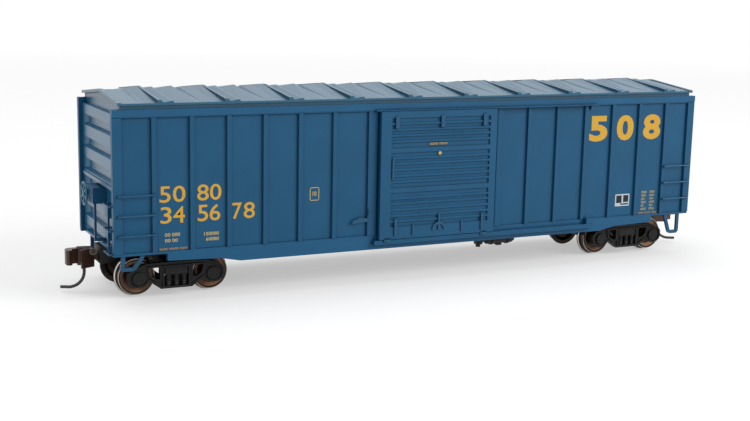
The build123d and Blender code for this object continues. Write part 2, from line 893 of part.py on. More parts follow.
def side_frame():
    """Cast side frame on the -Y side: rimmed web, spring opening, windows and bearings."""
    outline = make_face(Polyline(*frame_outline, *[(-x, z) for x, z in reversed(frame_outline)],
                                 close=True))
    half, low, high = spring_opening
    opening = Pos(0, (low + high) / 2) * Rectangle(2 * half, high - low)
    windows = [make_face(Polyline(*[(sign * x, z) for x, z in frame_window], close=True))
               for sign in (-1, 1)]
    web = offset(outline, amount=-frame_rim)
    for hole in [opening] + windows:
        web -= offset(hole, amount=frame_rim)
        outline -= hole
    outer = Plane.XZ.offset(frame_outer_y)
    frame = extrude(outer * outline, amount=-frame_thickness)
    frame -= extrude(outer * web, amount=-frame_recess)
    frame += block((-half - spring_backing, half + spring_backing),
                   (-frame_inner_y, spring_backing - frame_inner_y),
                   (low - spring_backing, bolster_tip_bottom - bolster_gap))
    for sign in (-1, 1):
        x = sign * wheelbase / 2
        cap_y = -frame_outer_y + (frame_recess - bearing_cap_height) / 2
        cap_length = frame_recess + bearing_cap_height
        frame += rod_y((x, cap_y, axle_z), bearing_cap_radius, cap_length)
        frame -= Pos(x, 0, axle_z) * journal(bearing_clearance)
    return frame


def journal(extra):
    """Stub and point of an axle's -Y end, enlarged by a clearance."""
    tip_y = frame_outer_y - bearing_wall
    cone_y = tip_y - journal_cone
    return turned([(0, -wheel_outer_y), (journal_radius + extra, -wheel_outer_y),
                   (journal_radius + extra, -cone_y - extra),
                   (tip_radius + extra, -tip_y - extra), (0, -tip_y - extra)])


def axle():
    core = turned([(0, wheel_outer_y), (axle_radius, wheel_outer_y),
                   (axle_radius, -wheel_outer_y), (0, -wheel_outer_y)])
    stub = journal(0.0)
    return core + stub + across(stub)


def wheel():
    """The wheel on the -Y side: tread, flange, dished plate and hub."""
    outer = -wheel_outer_y
    inner = outer + wheel_width
    rim = tread_radius - rim_thickness
    flange = tread_radius + flange_depth
    plate = rim - wheel_bevel
    cone = hub_radius + hub_slope
    hub_face = outer + hub_recess
    return turned([
        (axle_radius, hub_face), (hub_radius, hub_face), (cone, outer + wheel_dish),
        (plate, outer + wheel_dish), (rim, outer), (tread_radius, outer),
        (tread_radius, inner - flange_width), (flange - 0.1, inner - 0.5), (flange, inner - 0.3),
        (flange - 0.15, inner), (rim, inner), (plate, inner - wheel_dish),
        (cone, inner - wheel_dish), (hub_radius, inner), (axle_radius, inner),
    ])


bolster_section = (  # half of the section: y, height of the underside, then of the top
    (4.0, bolster_bottom, 8.7),
    (8.0, bolster_tip_bottom, 8.25),
    (frame_inner_y, bolster_tip_bottom, 7.8),
)
centre_bowl_radius = 3.2
centre_bowl_bottom = 8.0
tip_inset = 0.3
tip_gap = 0.1


def bolster():
    """Cross beam between the side frames, with its bowl and the hole for the kingpin."""
    under = [(y, low) for y, low, high in bolster_section]
    over = [(y, high) for y, low, high in reversed(bolster_section)]
    points = [(-y, z) for y, z in reversed(under)] + under + over
    points += [(-y, z) for y, z in reversed(over)]
    beam = plate_yz(points, -bolster_width / 2, bolster_width / 2)
    bowl_height = bolster_top - centre_bowl_bottom
    beam += Pos(0, 0, centre_bowl_bottom + bowl_height / 2) * Cylinder(centre_bowl_radius, bowl_height)
    half, low, high = spring_opening
    for sign in (-1, 1):
        y = sorted((sign * frame_inner_y, sign * (frame_outer_y - tip_gap)))
        beam += block((tip_inset - half, half - tip_inset), y, (spring_top, high - tip_gap))
    return beam - Pos(0, 0, bolster_bottom) * Cylinder(kingpin_radius + kingpin_clearance, 8)


def springs():
    """Coil springs between each side frame and the bolster's end."""
    low = spring_opening[1]
    y = -(frame_inner_y + frame_outer_y) / 2
    pieces = []
    for x in (-spring_pitch, 0.0, spring_pitch):
        spring = Pos(x, y, (low + spring_top) / 2) * Cylinder(spring_radius, spring_top - low)
        pieces += [spring, across(spring)]
    return group(*pieces)


beam_x = 3.6
beam_width = 0.7
beam_seat = 0.2
shoe_gap = 0.45
shoe_width = 1.6
shoe_inset = 0.2
shoe_z = (-1.15, 0.25)  # from the axle
beam_z = (-0.85, -0.05)


def brake_beams():
    """Beam and two brake shoes beside each axle, held by the side frames."""
    z = [axle_z + reach for reach in beam_z]
    beam = block((beam_x, beam_x + beam_width), (-frame_inner_y, frame_inner_y), z)
    shoe_x = wheelbase / 2 - tread_radius - shoe_gap
    shoe_outer = wheel_outer_y - shoe_inset
    for sign in (-1, 1):
        y = sorted((sign * shoe_outer, sign * (shoe_outer - shoe_width)))
        beam += block((beam_x + beam_seat, shoe_x), y, [axle_z + reach for reach in shoe_z])
    return group(beam, along(beam))


def place_truck(part, sign):
    return Pos(sign * truck_x, 0, 0) * part


# Every node of the car

pieces = {
    "side_panels_front": side_panels(),
    "side_sill_front": side_sill(),
    "side_plate_front": side_plate(),
    "door_front": door(),
    "door_fittings_front": door_fittings(),
    "door_tracks_front": door_tracks(),
}
for name in list(pieces):
    pieces[name.replace("front", "back")] = half_turn(pieces[name])

pieces["end_wall_plain"] = end_wall()
pieces["end_wall_brake"] = half_turn(end_wall())
pieces["roof"] = roof()
pieces["floor"] = floor()
pieces["weight"] = weight()
pieces["underframe_pan"] = underframe_pan()
pieces["centre_sill"] = centre_sill()
pieces["cross_bearers"] = cross_bearers()
pieces["body_bolsters"] = body_bolsters()
pieces["kingpins"] = kingpins()
pieces["air_reservoir"] = air_reservoir()
pieces["brake_cylinder"] = brake_cylinder()
pieces["control_valve"] = control_valve()
pieces["coupler_boxes"] = group(coupler_box(), half_turn(coupler_box()))
pieces["coupler_brake"] = coupler()
pieces["coupler_plain"] = half_turn(coupler())
pieces["side_rungs"] = side_rungs()
pieces["end_rungs"] = end_rungs()
pieces["stirrup_steps"] = stirrup_steps()
pieces["brake_wheel"] = brake_wheel()
pieces["brake_housing"] = brake_housing()

for end, sign in (("brake", -1), ("plain", 1)):
    frame = side_frame()
    pieces["side_frames_" + end] = place_truck(group(frame, across(frame)), sign)
    pieces["bolster_" + end] = place_truck(bolster(), sign)
    pieces["springs_" + end] = place_truck(springs(), sign)
    pieces["brake_beams_" + end] = place_truck(brake_beams(), sign)
    for place, side in (("outer", 1), ("inner", -1)):
        x = sign * (truck_x + side * wheelbase / 2)
        pieces["axle_%s_%s" % (end, place)] = Pos(x, 0, axle_z) * axle()
        pair = group(wheel(), across(wheel()))
        pieces["wheels_%s_%s" % (end, place)] = Pos(x, 0, axle_z) * pair

os.makedirs("parts", exist_ok=True)
for name, piece in pieces.items():
    export_step(piece, "parts/%s.step" % name)
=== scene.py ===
"""Looks of the model boxcar: paint, numbers, rivets, steps, coil springs and bright wheel rings.

The trim is drawn in millimetres in the part's own frame, and made into meshes in metres.
"""
import math

import bpy
from mathutils import Matrix, Vector


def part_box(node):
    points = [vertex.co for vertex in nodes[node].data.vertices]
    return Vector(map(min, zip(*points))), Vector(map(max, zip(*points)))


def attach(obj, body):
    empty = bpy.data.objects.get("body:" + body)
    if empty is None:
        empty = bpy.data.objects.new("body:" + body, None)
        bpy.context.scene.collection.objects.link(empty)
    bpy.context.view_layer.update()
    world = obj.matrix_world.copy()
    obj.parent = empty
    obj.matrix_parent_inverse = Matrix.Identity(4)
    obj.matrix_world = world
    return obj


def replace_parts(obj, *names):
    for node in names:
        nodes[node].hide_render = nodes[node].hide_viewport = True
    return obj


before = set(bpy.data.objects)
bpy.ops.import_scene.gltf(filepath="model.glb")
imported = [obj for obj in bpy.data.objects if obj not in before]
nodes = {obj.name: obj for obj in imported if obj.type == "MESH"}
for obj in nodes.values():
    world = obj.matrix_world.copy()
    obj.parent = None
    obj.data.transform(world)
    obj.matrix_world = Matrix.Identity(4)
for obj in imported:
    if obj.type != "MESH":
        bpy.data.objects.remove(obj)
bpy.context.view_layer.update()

MM = 0.001


# Places that the trim sits on, from the frame

def box_mm(node):
    low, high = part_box(node)
    return Vector(low) / MM, Vector(high) / MM


def middle(node):
    low, high = box_mm(node)
    return (low + high) / 2


POST_DEPTH = 0.7
SIDE_LOW = box_mm("side_panels_front")[0]
SIDE_Y = -SIDE_LOW.y
SHEET_Y = SIDE_Y - POST_DEPTH
PLATE_Y = -box_mm("side_plate_front")[0].y
PLATE_BOTTOM = box_mm("side_plate_front")[0].z
DOOR_LOW, DOOR_HIGH = box_mm("door_front")
DOOR_Y = -DOOR_LOW.y
RAIL_Y = -box_mm("door_tracks_front")[0].y
TRACK_END = box_mm("door_tracks_front")[1].x
FRAME_Y = box_mm("side_frames_plain")[1].y
STEP_LOW, STEP_HIGH = box_mm("stirrup_steps")
SPRING_LOW, SPRING_HIGH = box_mm("springs_plain")
WHEEL_Y = box_mm("wheels_plain_outer")[1].y


# Colours

def linear(red, green, blue):
    """A colour read from 0 to 255, as the shader takes it."""
    def one(value):
        value /= 255
        return value / 12.92 if value <= 0.04045 else ((value + 0.055) / 1.055) ** 2.4
    return (one(red), one(green), one(blue), 1.0)


def shade(colour, factor):
    return tuple(min(1.0, value * factor) for value in colour[:3]) + (1.0,)


# Materials

GRAIN_HEIGHT = 0.00002
LOST_GLOSS = 0.35


class Nodes:
    """A material's node tree, with short calls to add nodes and join them."""

    def __init__(self, name):
        self.material = bpy.data.materials.new(name)
        self.material.use_nodes = True
        self.tree = self.material.node_tree
        self.surface = self.tree.nodes["Principled BSDF"]
        self.place = self.add("ShaderNodeTexCoord").outputs["Object"]

    def add(self, kind, **settings):
        node = self.tree.nodes.new(kind)
        for key, value in settings.items():
            setattr(node, key, value)
        return node

    def join(self, source, target):
        self.tree.links.new(source, target)

    def noise(self, scale, detail=3.0, roughness=0.55):
        texture = self.add("ShaderNodeTexNoise")
        texture.inputs["Scale"].default_value = scale
        texture.inputs["Detail"].default_value = detail
        texture.inputs["Roughness"].default_value = roughness
        self.join(self.place, texture.inputs["Vector"])
        return texture.outputs["Fac"]

    def spread(self, value, low, high, start=0.3, end=0.7):
        """The value's span from start to end, laid on low to high."""
        node = self.add("ShaderNodeMapRange")
        numbers = {"From Min": start, "From Max": end, "To Min": low, "To Max": high}
        for key, number in numbers.items():
            node.inputs[key].default_value = number
        self.join(value, node.inputs["Value"])
        return node.outputs["Result"]

    def mix(self, factor, first, second):
        node = self.add("ShaderNodeMix", data_type="RGBA")
        self.join(factor, node.inputs[0])
        for socket, colour in ((node.inputs[6], first), (node.inputs[7], second)):
            if isinstance(colour, tuple):
                socket.default_value = colour
            else:
                self.join(colour, socket)
        return node.outputs[2]

    def math(self, operation, first, second=None):
        node = self.add("ShaderNodeMath", operation=operation)
        for socket, value in zip(node.inputs, (first, second)):
            if isinstance(value, (int, float)):
                socket.default_value = value
            elif value is not None:
                self.join(value, socket)
        return node.outputs["Value"]

    def cloudy(self, colour, variation, scale):
        """The colour, darker and lighter by the variation in soft clouds."""
        tone = self.spread(self.noise(scale), 0.0, 1.0)
        return self.mix(tone, shade(colour, 1 - variation), shade(colour, 1 + variation))

    def two_part(self, upper, height, lower):
        """The upper colour, and the lower one under the height."""
        level = self.add("ShaderNodeSeparateXYZ")
        self.join(self.place, level.inputs[0])
        low = self.math("LESS_THAN", level.outputs["Z"], height * MM)
        return self.mix(low, upper, lower)

    def openness(self, reach):
        """1 on an open surface, down to 0 deep in a corner or a gap; it sets the painted corner
        shade.
        """
        node = self.add("ShaderNodeAmbientOcclusion", samples=8)
        node.inputs["Distance"].default_value = reach * MM
        return self.spread(node.outputs["AO"], 0.0, 1.0, start=0.25, end=0.9)

    def painted_corner_shade(self, base, open_share, corner):
        """Painted shade: the base, darkened down to its corner share where the surface isn't open.
        """
        dark = self.add("ShaderNodeMix", data_type="RGBA", blend_type="MULTIPLY")
        dark.inputs[0].default_value = 1.0
        self.join(base, dark.inputs[6])
        self.join(self.spread(open_share, corner, 1.0, start=0.0, end=1.0), dark.inputs[7])
        return dark.outputs[2]

    def relief(self, height, strength, rounding):
        """Fine grain on the surface, with its edges softened by the rounding's radius."""
        grain = self.add("ShaderNodeBump")
        grain.inputs["Strength"].default_value = strength
        grain.inputs["Distance"].default_value = GRAIN_HEIGHT
        self.join(height, grain.inputs["Height"])
        if rounding:
            edge = self.add("ShaderNodeBevel", samples=4)
            edge.inputs["Radius"].default_value = rounding * MM
            self.join(edge.outputs["Normal"], grain.inputs["Normal"])
        self.join(grain.outputs["Normal"], self.surface.inputs["Normal"])


def surface(name, colour, roughness, specular=0.5, metallic=0.0, variation=0.06, cloud=120.0,
            grain=2500.0, bump=0.15, uneven=0.04, rounding=0.0, reach=1.0, corner=0.45,
            below=None):
    """Paint, moulding or metal: cloudy colour, uneven gloss, fine grain, painted shade in corners,
    soft edges.

    cloud and grain are the noises' scales, bump the grain's strength, uneven the gloss's swing,
    reach how far the painted corner shade reaches, corner the colour's share left in that painted
    shade, and below the (height, colour) of a lower part.
    """
    tree = Nodes(name)
    shader = tree.surface
    base = tree.cloudy(colour, variation, cloud)
    if below:
        base = tree.two_part(base, *below)
    open_share = tree.openness(reach)
    # Painted shade: the colour is darkened where the surface isn't open, in corners, creases and
    # gaps.
    tree.join(tree.painted_corner_shade(base, open_share, corner), shader.inputs["Base Color"])
    fine = tree.noise(grain, detail=2.0)
    gloss = tree.spread(fine, roughness - uneven, roughness + uneven)
    dulled = tree.spread(open_share, LOST_GLOSS, 0.0, start=0.0, end=1.0)
    tree.join(tree.math("ADD", gloss, dulled), shader.inputs["Roughness"])
    shader.inputs["Metallic"].default_value = metallic
    shader.inputs["Specular IOR Level"].default_value = specular
    tree.relief(fine, bump, rounding)
    return tree.material


def marking(name, red, green, blue):
    """Flat printed ink."""
    return surface(name, linear(red, green, blue), 0.5, variation=0.03, specular=0.3)


BLUE = linear(19, 85, 123)
BLACK = linear(22, 21, 20)
blue_side = surface("side_blue", BLUE, 0.42, specular=0.30, rounding=0.06)
# Painted light: the sill and the top plate are the side's paint made 12% lighter, for the light
# that falls more on them.
blue_sill_painted_light = surface("sill_blue_painted_light", shade(BLUE, 1.12), 0.40, specular=0.32, rounding=0.06)
blue_end = surface("end_blue", linear(19, 103, 142), 0.28, specular=0.53, rounding=0.03,
                   bump=0.0, uneven=0.01)
# The roof gets deeper, wider painted shade in its creases and corners.
blue_roof = surface("roof_blue", linear(23, 91, 122), 0.27, specular=0.52, reach=1.6,
                    corner=0.3, bump=0.0, uneven=0.01)
blue_trim = surface("trim_blue", shade(BLUE, 0.95), 0.36, specular=0.4, rounding=0.06)
blue_bright = surface("brake_wheel_blue", linear(34, 114, 148), 0.35, specular=0.5)
yellow = marking("marking_yellow", 224, 173, 58)
pale_yellow = marking("small_marking_yellow", 205, 182, 112)
orange = marking("line_orange", 206, 160, 94)
white = marking("marking_white", 196, 212, 222)
ink = marking("marking_black", 22, 24, 28)
black_under = surface("underframe_black", BLACK, 0.5, specular=0.35, variation=0.12,
                      rounding=0.08)
black_truck = surface("truck_black", linear(19, 18, 17), 0.42, specular=0.27, variation=0.12,
                      rounding=0.1)
axle_black = surface("axle_black", BLACK, 0.45, specular=0.4, variation=0.1)
floor_black = surface("floor_black", linear(30, 30, 31), 0.6, specular=0.3, variation=0.1)
spring_black = surface("spring_black", linear(36, 34, 33), 0.40, specular=0.45, variation=0.1)
steel = surface("weight_steel", linear(128, 128, 130), 0.4, metallic=1.0, variation=0.08)
screw = surface("screw_steel", linear(70, 68, 66), 0.4, metallic=1.0, variation=0.08,
                rounding=0.05)
coupler_brown = surface("coupler_brown", linear(66, 38, 27), 0.36, specular=0.5, variation=0.2,
                        rounding=0.15, below=(7.0, linear(54, 50, 46)))
bright_metal = surface("bright_metal", linear(198, 190, 180), 0.22, metallic=1.0,
                       variation=0.08)
copper_metal = surface("copper_metal", linear(186, 142, 110), 0.28, metallic=0.2,
                       variation=0.2, cloud=400.0)
dark_metal = surface("dark_metal", linear(52, 44, 38), 0.3, metallic=0.7, variation=0.15)
ring_metal = surface("ring_metal", linear(112, 118, 104), 0.35, metallic=0.5, variation=0.1)

finishes = {  # material: the nodes it goes on, each by the start of its name
    blue_side: ("side_panels", "door", "door_tracks"),
    blue_sill_painted_light: ("side_sill", "side_plate"),
    blue_end: ("end_wall",),
    blue_roof: ("roof",),
    blue_trim: ("door_fittings", "side_rungs", "end_rungs", "stirrup_steps", "brake_housing"),
    blue_bright: ("brake_wheel",),
    floor_black: ("floor",),
    steel: ("weight",),
    screw: ("kingpins",),
    black_under: ("underframe_pan", "centre_sill", "cross_bearers", "body_bolsters",
                  "air_reservoir", "brake_cylinder", "control_valve", "coupler_boxes"),
    coupler_brown: ("coupler_brake", "coupler_plain"),
    black_truck: ("side_frames", "bolster", "brake_beams"),
    spring_black: ("springs",),
    axle_black: ("axle",),
    dark_metal: ("wheels",),
}


def finish_of(name):
    """The material of the longest start that fits the node's name."""
    fitting = {start: material for material, starts in finishes.items() for start in starts
               if name == start or name.startswith(start + "_")}
    return fitting[max(fitting, key=len)]


for name, node in nodes.items():
    node.data.materials.clear()
    node.data.materials.append(finish_of(name))


# Meshes

def around(index, count):
    """The angle of one of count steps round a circle."""
    return 2 * math.pi * index / count


class Shape:
    """Collects the corners and faces of one mesh."""

    def __init__(self):
        self.points = []
        self.faces = []

    def add(self, points, faces):
        start = len(self.points)
        self.points += [Vector(point) for point in points]
        self.faces += [tuple(start + index for index in face) for face in faces]

    def block(self, x, y, z):
        x, y, z = sorted(x), sorted(y), sorted(z)
        self.add([(a, b, c) for a in x for b in y for c in z],
                 [(0, 1, 3, 2), (4, 6, 7, 5), (0, 4, 5, 1),
                  (2, 3, 7, 6), (0, 2, 6, 4), (1, 5, 7, 3)])

    def plate(self, outline, y_near, y_far):
        """A plate between two depths, its (x, z) outline clockwise as seen from -Y."""
        count = len(outline)
        points = [(x, y, z) for y in (y_near, y_far) for x, z in outline]
        rim = [(k, count + k, count + (k + 1) % count, (k + 1) % count) for k in range(count)]
        ends = [tuple(reversed(range(count))), tuple(range(count, 2 * count))]
        self.add(points, ends + rim)

    def sweep(self, path, section_at):
        """Joins the sections that section_at gives for each point and the way forward there."""
        path = [Vector(point) for point in path]
        last = len(path) - 1
        rings = []
        for index, point in enumerate(path):
            before, after = path[max(index - 1, 0)], path[min(index + 1, last)]
            rings.append(section_at(point, (after - before).normalized()))
        sides = len(rings[0])
        faces = []
        for index in range(last):
            here, there = index * sides, (index + 1) * sides
            faces += [(here + k, here + (k + 1) % sides, there + (k + 1) % sides, there + k)
                      for k in range(sides)]
        faces += [tuple(reversed(range(sides))), tuple(range(last * sides, (last + 1) * sides))]
        self.add([point for ring in rings for point in ring], faces)

    def tube(self, path, radius, sides=10):
        """A round wire along the path."""
        held = {"side": None}

        def circle(point, forward):
            side = held["side"] or forward.orthogonal().normalized()
            side = (side - forward * side.dot(forward)).normalized()
            held["side"] = side
            other = forward.cross(side)
            return [point + radius * (math.cos(a) * side + math.sin(a) * other)
                    for a in [around(k, sides) for k in range(sides)]]
        self.sweep(path, circle)

    def strap(self, path, width, thickness):
        """A flat strap along the path, its thickness across the car."""
        def section(point, forward):
            thick = Vector((0, 1, 0))
            thick = (thick - forward * thick.dot(forward)).normalized() * thickness / 2
            wide = forward.cross(thick).normalized() * width / 2
            return [point + wide + thick, point - wide + thick,
                    point - wide - thick, point + wide - thick]
        self.sweep(path, section)

    def turned(self, centre, axis, profile, sides=32, closed=False):
        """Turns the profile's (radius, distance along the axis) about the axis through centre."""
        axis = Vector(axis).normalized()
        side = axis.orthogonal().normalized()
        other = axis.cross(side)
        points, count = [], len(profile)
        for k in range(sides):
            angle = around(k, sides)
            out = math.cos(angle) * side + math.sin(angle) * other
            points += [Vector(centre) + radius * out + far * axis for radius, far in profile]
        faces = []
        for k in range(sides):
            here, there = k * count, (k + 1) % sides * count
            for j in range(count if closed else count - 1):
                after = (j + 1) % count
                faces.append((here + j, there + j, there + after, here + after))
        if not closed:
            faces.append(tuple(k * count for k in reversed(range(sides))))
            faces.append(tuple(k * count + count - 1 for k in range(sides)))
        self.add(points, faces)

    def mirrored(self, *signs):
        """The same shape with its x, y and z times the signs."""
        other = Shape()
        other.points = [Vector([sign * value for sign, value in zip(signs, point)])
                        for point in self.points]
        inside_out = math.prod(signs) < 0
        other.faces = [tuple(reversed(face)) if inside_out else face for face in self.faces]
        return other

    def turned_about(self):
        """The same shape half a turn about Z."""
        return self.mirrored(-1, -1, 1)

    def join(self, *others):
        for other in others:
            self.add(other.points, other.faces)
        return self

    def piece(self, name, body, material, slot, smooth=False):
        mesh = bpy.data.meshes.new(name)
        mesh.from_pydata([point * MM for point in self.points], [], self.faces)
        mesh.update()
        if smooth:
            mesh.shade_smooth()
            mesh.set_sharp_from_angle(angle=math.radians(40))
        mesh.materials.append(material)
        obj = bpy.data.objects.new(name, mesh)
        bpy.context.scene.collection.objects.link(obj)
        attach(obj, body)
        return obj


def on_both_sides(label, shape, body, material):
    """The piece on the front, and again half a turn about Z on the back.

    SIDE in the body's name stands for front or back.
    """
    for side, made in (("front", shape), ("back", shape.turned_about())):
        made.piece("%s_%s" % (label, side), body.replace("SIDE", side), material, "body_paint")


# Printed digits and lines

PRINT_DEPTH = 0.03


def flat_digits(string, weight):
    """Points and faces of the digits in a plain face, laid flat."""
    curve = bpy.data.curves.new("digits", "FONT")
    curve.body = string
    curve.offset = weight
    curve.resolution_u = 4
    holder = bpy.data.objects.new("digits", curve)
    bpy.context.scene.collection.objects.link(holder)
    bpy.context.view_layer.update()
    laid = holder.evaluated_get(bpy.context.evaluated_depsgraph_get())
    mesh = bpy.data.meshes.new_from_object(laid)
    points = [tuple(vertex.co) for vertex in mesh.vertices]
    faces = [tuple(polygon.vertices) for polygon in mesh.polygons]
    bpy.data.objects.remove(holder)
    bpy.data.meshes.remove(mesh)
    bpy.data.curves.remove(curve)
    return points, faces


def fitted(values, span):
    """The values moved and stretched to fill the span."""
    low, high = min(values), max(values)
    return [span[0] + (value - low) / (high - low) * (span[1] - span[0]) for value in values]


def digits(shape, string, x, z, y, weight=0.0):
    """Plain digits fitted to the box x by z, printed on the -Y face at distance y."""
    flat, faces = flat_digits(string, weight)
    count = len(flat)
    across = fitted([point[0] for point in flat], x)
    up = fitted([point[1] for point in flat], z)
    points = [(a, -y + depth, b) for depth in (-PRINT_DEPTH, PRINT_DEPTH)
              for a, b in zip(across, up)]
    edges = {(a, b) for face in faces for a, b in zip(face, face[1:] + face[:1])}
    rim = sorted((a, b) for a, b in edges if (b, a) not in edges)
    shape.add(points, faces + [tuple(count + i for i in reversed(face)) for face in faces]
              + [(b, a, count + a, count + b) for a, b in rim])


def printed(rows, weight=0.0, y=SHEET_Y):
    """A shape of the rows of (digits, x, z)."""
    made = Shape()
    for string, x, z in rows:
        digits(made, string, x, z, y, weight)
    return made


def bar(shape, x, z, y=SHEET_Y):
    shape.block(x, (-y - PRINT_DEPTH, -y + PRINT_DEPTH), z)


def outlined(shape, x, z, line):
    """Four thin bars inside the edges of the box x by z."""
    for left in (x[0], x[1] - line):
        bar(shape, (left, left + line), z)
    for bottom in (z[0], z[1] - line):
        bar(shape, x, (bottom, bottom + line))


UPPER_ROW = (26.1, 30.3)
LOWER_ROW = (20.7, 25.0)
row_digits = (
    ("5", (-79.0, -76.1), UPPER_ROW), ("0", (-75.5, -72.2), UPPER_ROW),
    ("8", (-69.1, -66.0), UPPER_ROW), ("0", (-65.7, -62.6), UPPER_ROW),
    ("3", (-78.8, -75.9), LOWER_ROW), ("4", (-75.5, -72.4), LOWER_ROW),
    ("5", (-69.0, -66.2), LOWER_ROW), ("6", (-65.8, -62.9), LOWER_ROW),
    ("7", (-59.7, -57.0), LOWER_ROW), ("8", (-56.5, -53.4), LOWER_ROW),
)
LARGE_ROW = (36.9, 44.6)
large_digits = (
    ("5", (52.3, 58.9), LARGE_ROW), ("0", (62.3, 68.6), LARGE_ROW),
    ("8", (72.2, 78.8), LARGE_ROW),
)
numbers = printed(row_digits, weight=0.008).join(printed(large_digits, weight=0.04))
on_both_sides("numbers", numbers, "car", yellow)

SMALL_BOX = ((-37.8, -35.1), (24.3, 27.9))
SMALL_BOX_LINE = 0.2
small_rows = (
    ("00 000", (-77.7, -73.7), (17.3, 18.2)), ("00 00", (-77.7, -74.3), (15.8, 16.7)),
    ("150000", (-67.3, -63.3), (16.9, 17.8)), ("60000", (-66.8, -63.3), (15.5, 16.4)),
    ("10", (-37.0, -35.9), (25.6, 26.8)),
)
COLUMN_TOP = 20.9
COLUMN_PITCH = 1.05
COLUMN_HEIGHT = 0.7
LEFT_COLUMN = 73.1
RIGHT_COLUMN = 76.2
column_widths = (1.9, 1.6, 1.2, 1.8, 1.0, 1.9)


def column_rows():
    """Two columns of small digits at the right, each row with its own width."""
    for row, width in enumerate(column_widths):
        top = COLUMN_TOP - row * COLUMN_PITCH
        z = (top - COLUMN_HEIGHT, top)
        yield "000"[:2 + row % 2], (LEFT_COLUMN, LEFT_COLUMN + width), z
        yield "0000"[:3 + row % 2], (RIGHT_COLUMN, RIGHT_COLUMN + 0.8 + width * 0.6), z


small = printed(small_rows, weight=0.02).join(printed(column_rows()))
outlined(small, *SMALL_BOX, SMALL_BOX_LINE)
on_both_sides("small_numbers", small, "car", pale_yellow)

LINE_ROW = (13.75, 14.35)
line_rows = [("0000 00000 0000", x, LINE_ROW) for x in ((-79.1, -71.6), (72.3, 79.3))]
on_both_sides("lines", printed(line_rows), "car", orange)

FIELD_PROUD = 0.02
label = ((63.2, 68.5), (16.7, 20.4))
label_fields = (
    ((63.6, 65.6), (17.7, 20.0)), ((66.2, 68.1), (17.9, 20.0)), ((65.2, 68.1), (17.1, 17.5)),
)
label_frame, fields = Shape(), Shape()
bar(label_frame, *label)
for x, z in label_fields:
    bar(fields, x, z, SHEET_Y + FIELD_PROUD)
on_both_sides("label_frame", label_frame, "car", white)
on_both_sides("label_fields", fields, "car", ink)

DOOR_ROW_SUNK = 0.02
DOOR_SPOT = (0.4, -DOOR_Y, 36.0)
door_row = ("000000 000000", (-2.9, 2.6), (38.35, 39.0))
spot_disc = ((0.5, -0.3), (0.5, PRINT_DEPTH))
door_spot = Shape()
door_spot.turned(DOOR_SPOT, (0, -1, 0), spot_disc, sides=20)
on_both_sides("door_line", printed([door_row], y=DOOR_Y - DOOR_ROW_SUNK), "door_SIDE",
              pale_yellow)
on_both_sides("door_spot", door_spot, "door_SIDE", pale_yellow)


# Steps under the corners

STRAP_WIDTH = 1.0
STRAP_THICKNESS = 0.7
STRAP_INSET = 0.05
STEP_SPAN = 6.1
STEP_TREAD = 3.6
STEP_ROUNDING = 0.7
STEP_KINK = 1.5
BENT_DROP = 4.4
BENT_LEAN = 1.7
BENT_SHIFT = 0.55


def rounded(path, radius, steps=4):
    """The path with each corner replaced by a short curve."""
    path = [Vector(point) for point in path]
    made = [path[0]]
    for before, corner, after in zip(path, path[1:], path[2:]):
        start = corner + (before - corner).normalized() * radius
        end = corner + (after - corner).normalized() * radius
        for k in range(steps + 1):
            share = k / steps
            made.append((1 - share) ** 2 * start + 2 * share * (1 - share) * corner
                        + share ** 2 * end)
    return made + [path[-1]]


def step(drop, lean=0.0, shift=0.0):
    """Strap step at the +X, +Y corner: it narrows below the sill and leans in under the car."""
    outer = STEP_HIGH.x - STRAP_WIDTH / 2 + shift
    inner = outer - STEP_SPAN + STRAP_WIDTH
    tread = outer - STEP_TREAD + STRAP_WIDTH / 2
    top, y = STEP_HIGH.z, STEP_HIGH.y - STRAP_THICKNESS / 2 - STRAP_INSET
    kink, low = top - STEP_KINK, top - drop + STRAP_WIDTH / 2
    kink_x = inner + (tread - inner) * STEP_KINK / (top - low)
    path = [(outer, y, top), (outer, y, kink), (outer, y - lean, low),
            (tread, y - lean, low), (kink_x, y, kink), (inner, y, top)]
    made = Shape()
    made.strap(rounded(path, STEP_ROUNDING), STRAP_WIDTH, STRAP_THICKNESS)
    return made


straight = step(STEP_HIGH.z - STEP_LOW.z)
bent = step(BENT_DROP, BENT_LEAN, BENT_SHIFT)
steps = Shape().join(straight, straight.mirrored(-1, 1, 1), straight.mirrored(1, -1, 1),
                     bent.turned_about())
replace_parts(steps.piece("corner_steps", "car", blue_trim, "body_paint"), "stirrup_steps")


# Trucks: coil springs, wheel rings and bearing bolts

SPRING_PITCH = 2.1
SPRING_RADIUS = 0.75
SPRING_WIRE = 0.17
SPRING_CORE = 0.36
SPRING_TURNS = 5
STEPS_A_TURN = 20
SPRING_Y = SPRING_HIGH.y - SPRING_RADIUS
BOLT_CIRCLE = 0.95
BOLT_ANGLES = (90, 210, 330)

bolt_head = ((0.22, -0.2), (0.22, -0.03), (0.15, 0.0))
rim_ring = ((4.70, -0.05), (4.72, 0.012), (4.79, 0.012), (4.83, -0.05))
flange_ring = ((5.10, -2.06), (5.12, -2.02), (5.36, -2.19), (5.38, -2.26))
dish_ring = ((3.32, -0.84), (3.30, -0.74), (4.10, -0.03), (4.17, -0.06))


def coil(x, y):
    """Points along the wire of one spring, from its seat to its top."""
    count = SPRING_TURNS * STEPS_A_TURN
    height = SPRING_HIGH.z - SPRING_LOW.z - 2 * SPRING_WIRE
    radius = SPRING_RADIUS - SPRING_WIRE
    path = []
    for index in range(count + 1):
        angle = around(index, STEPS_A_TURN)
        path.append((x + radius * math.cos(angle), y + radius * math.sin(angle),
                     SPRING_LOW.z + SPRING_WIRE + height * index / count))
    return path


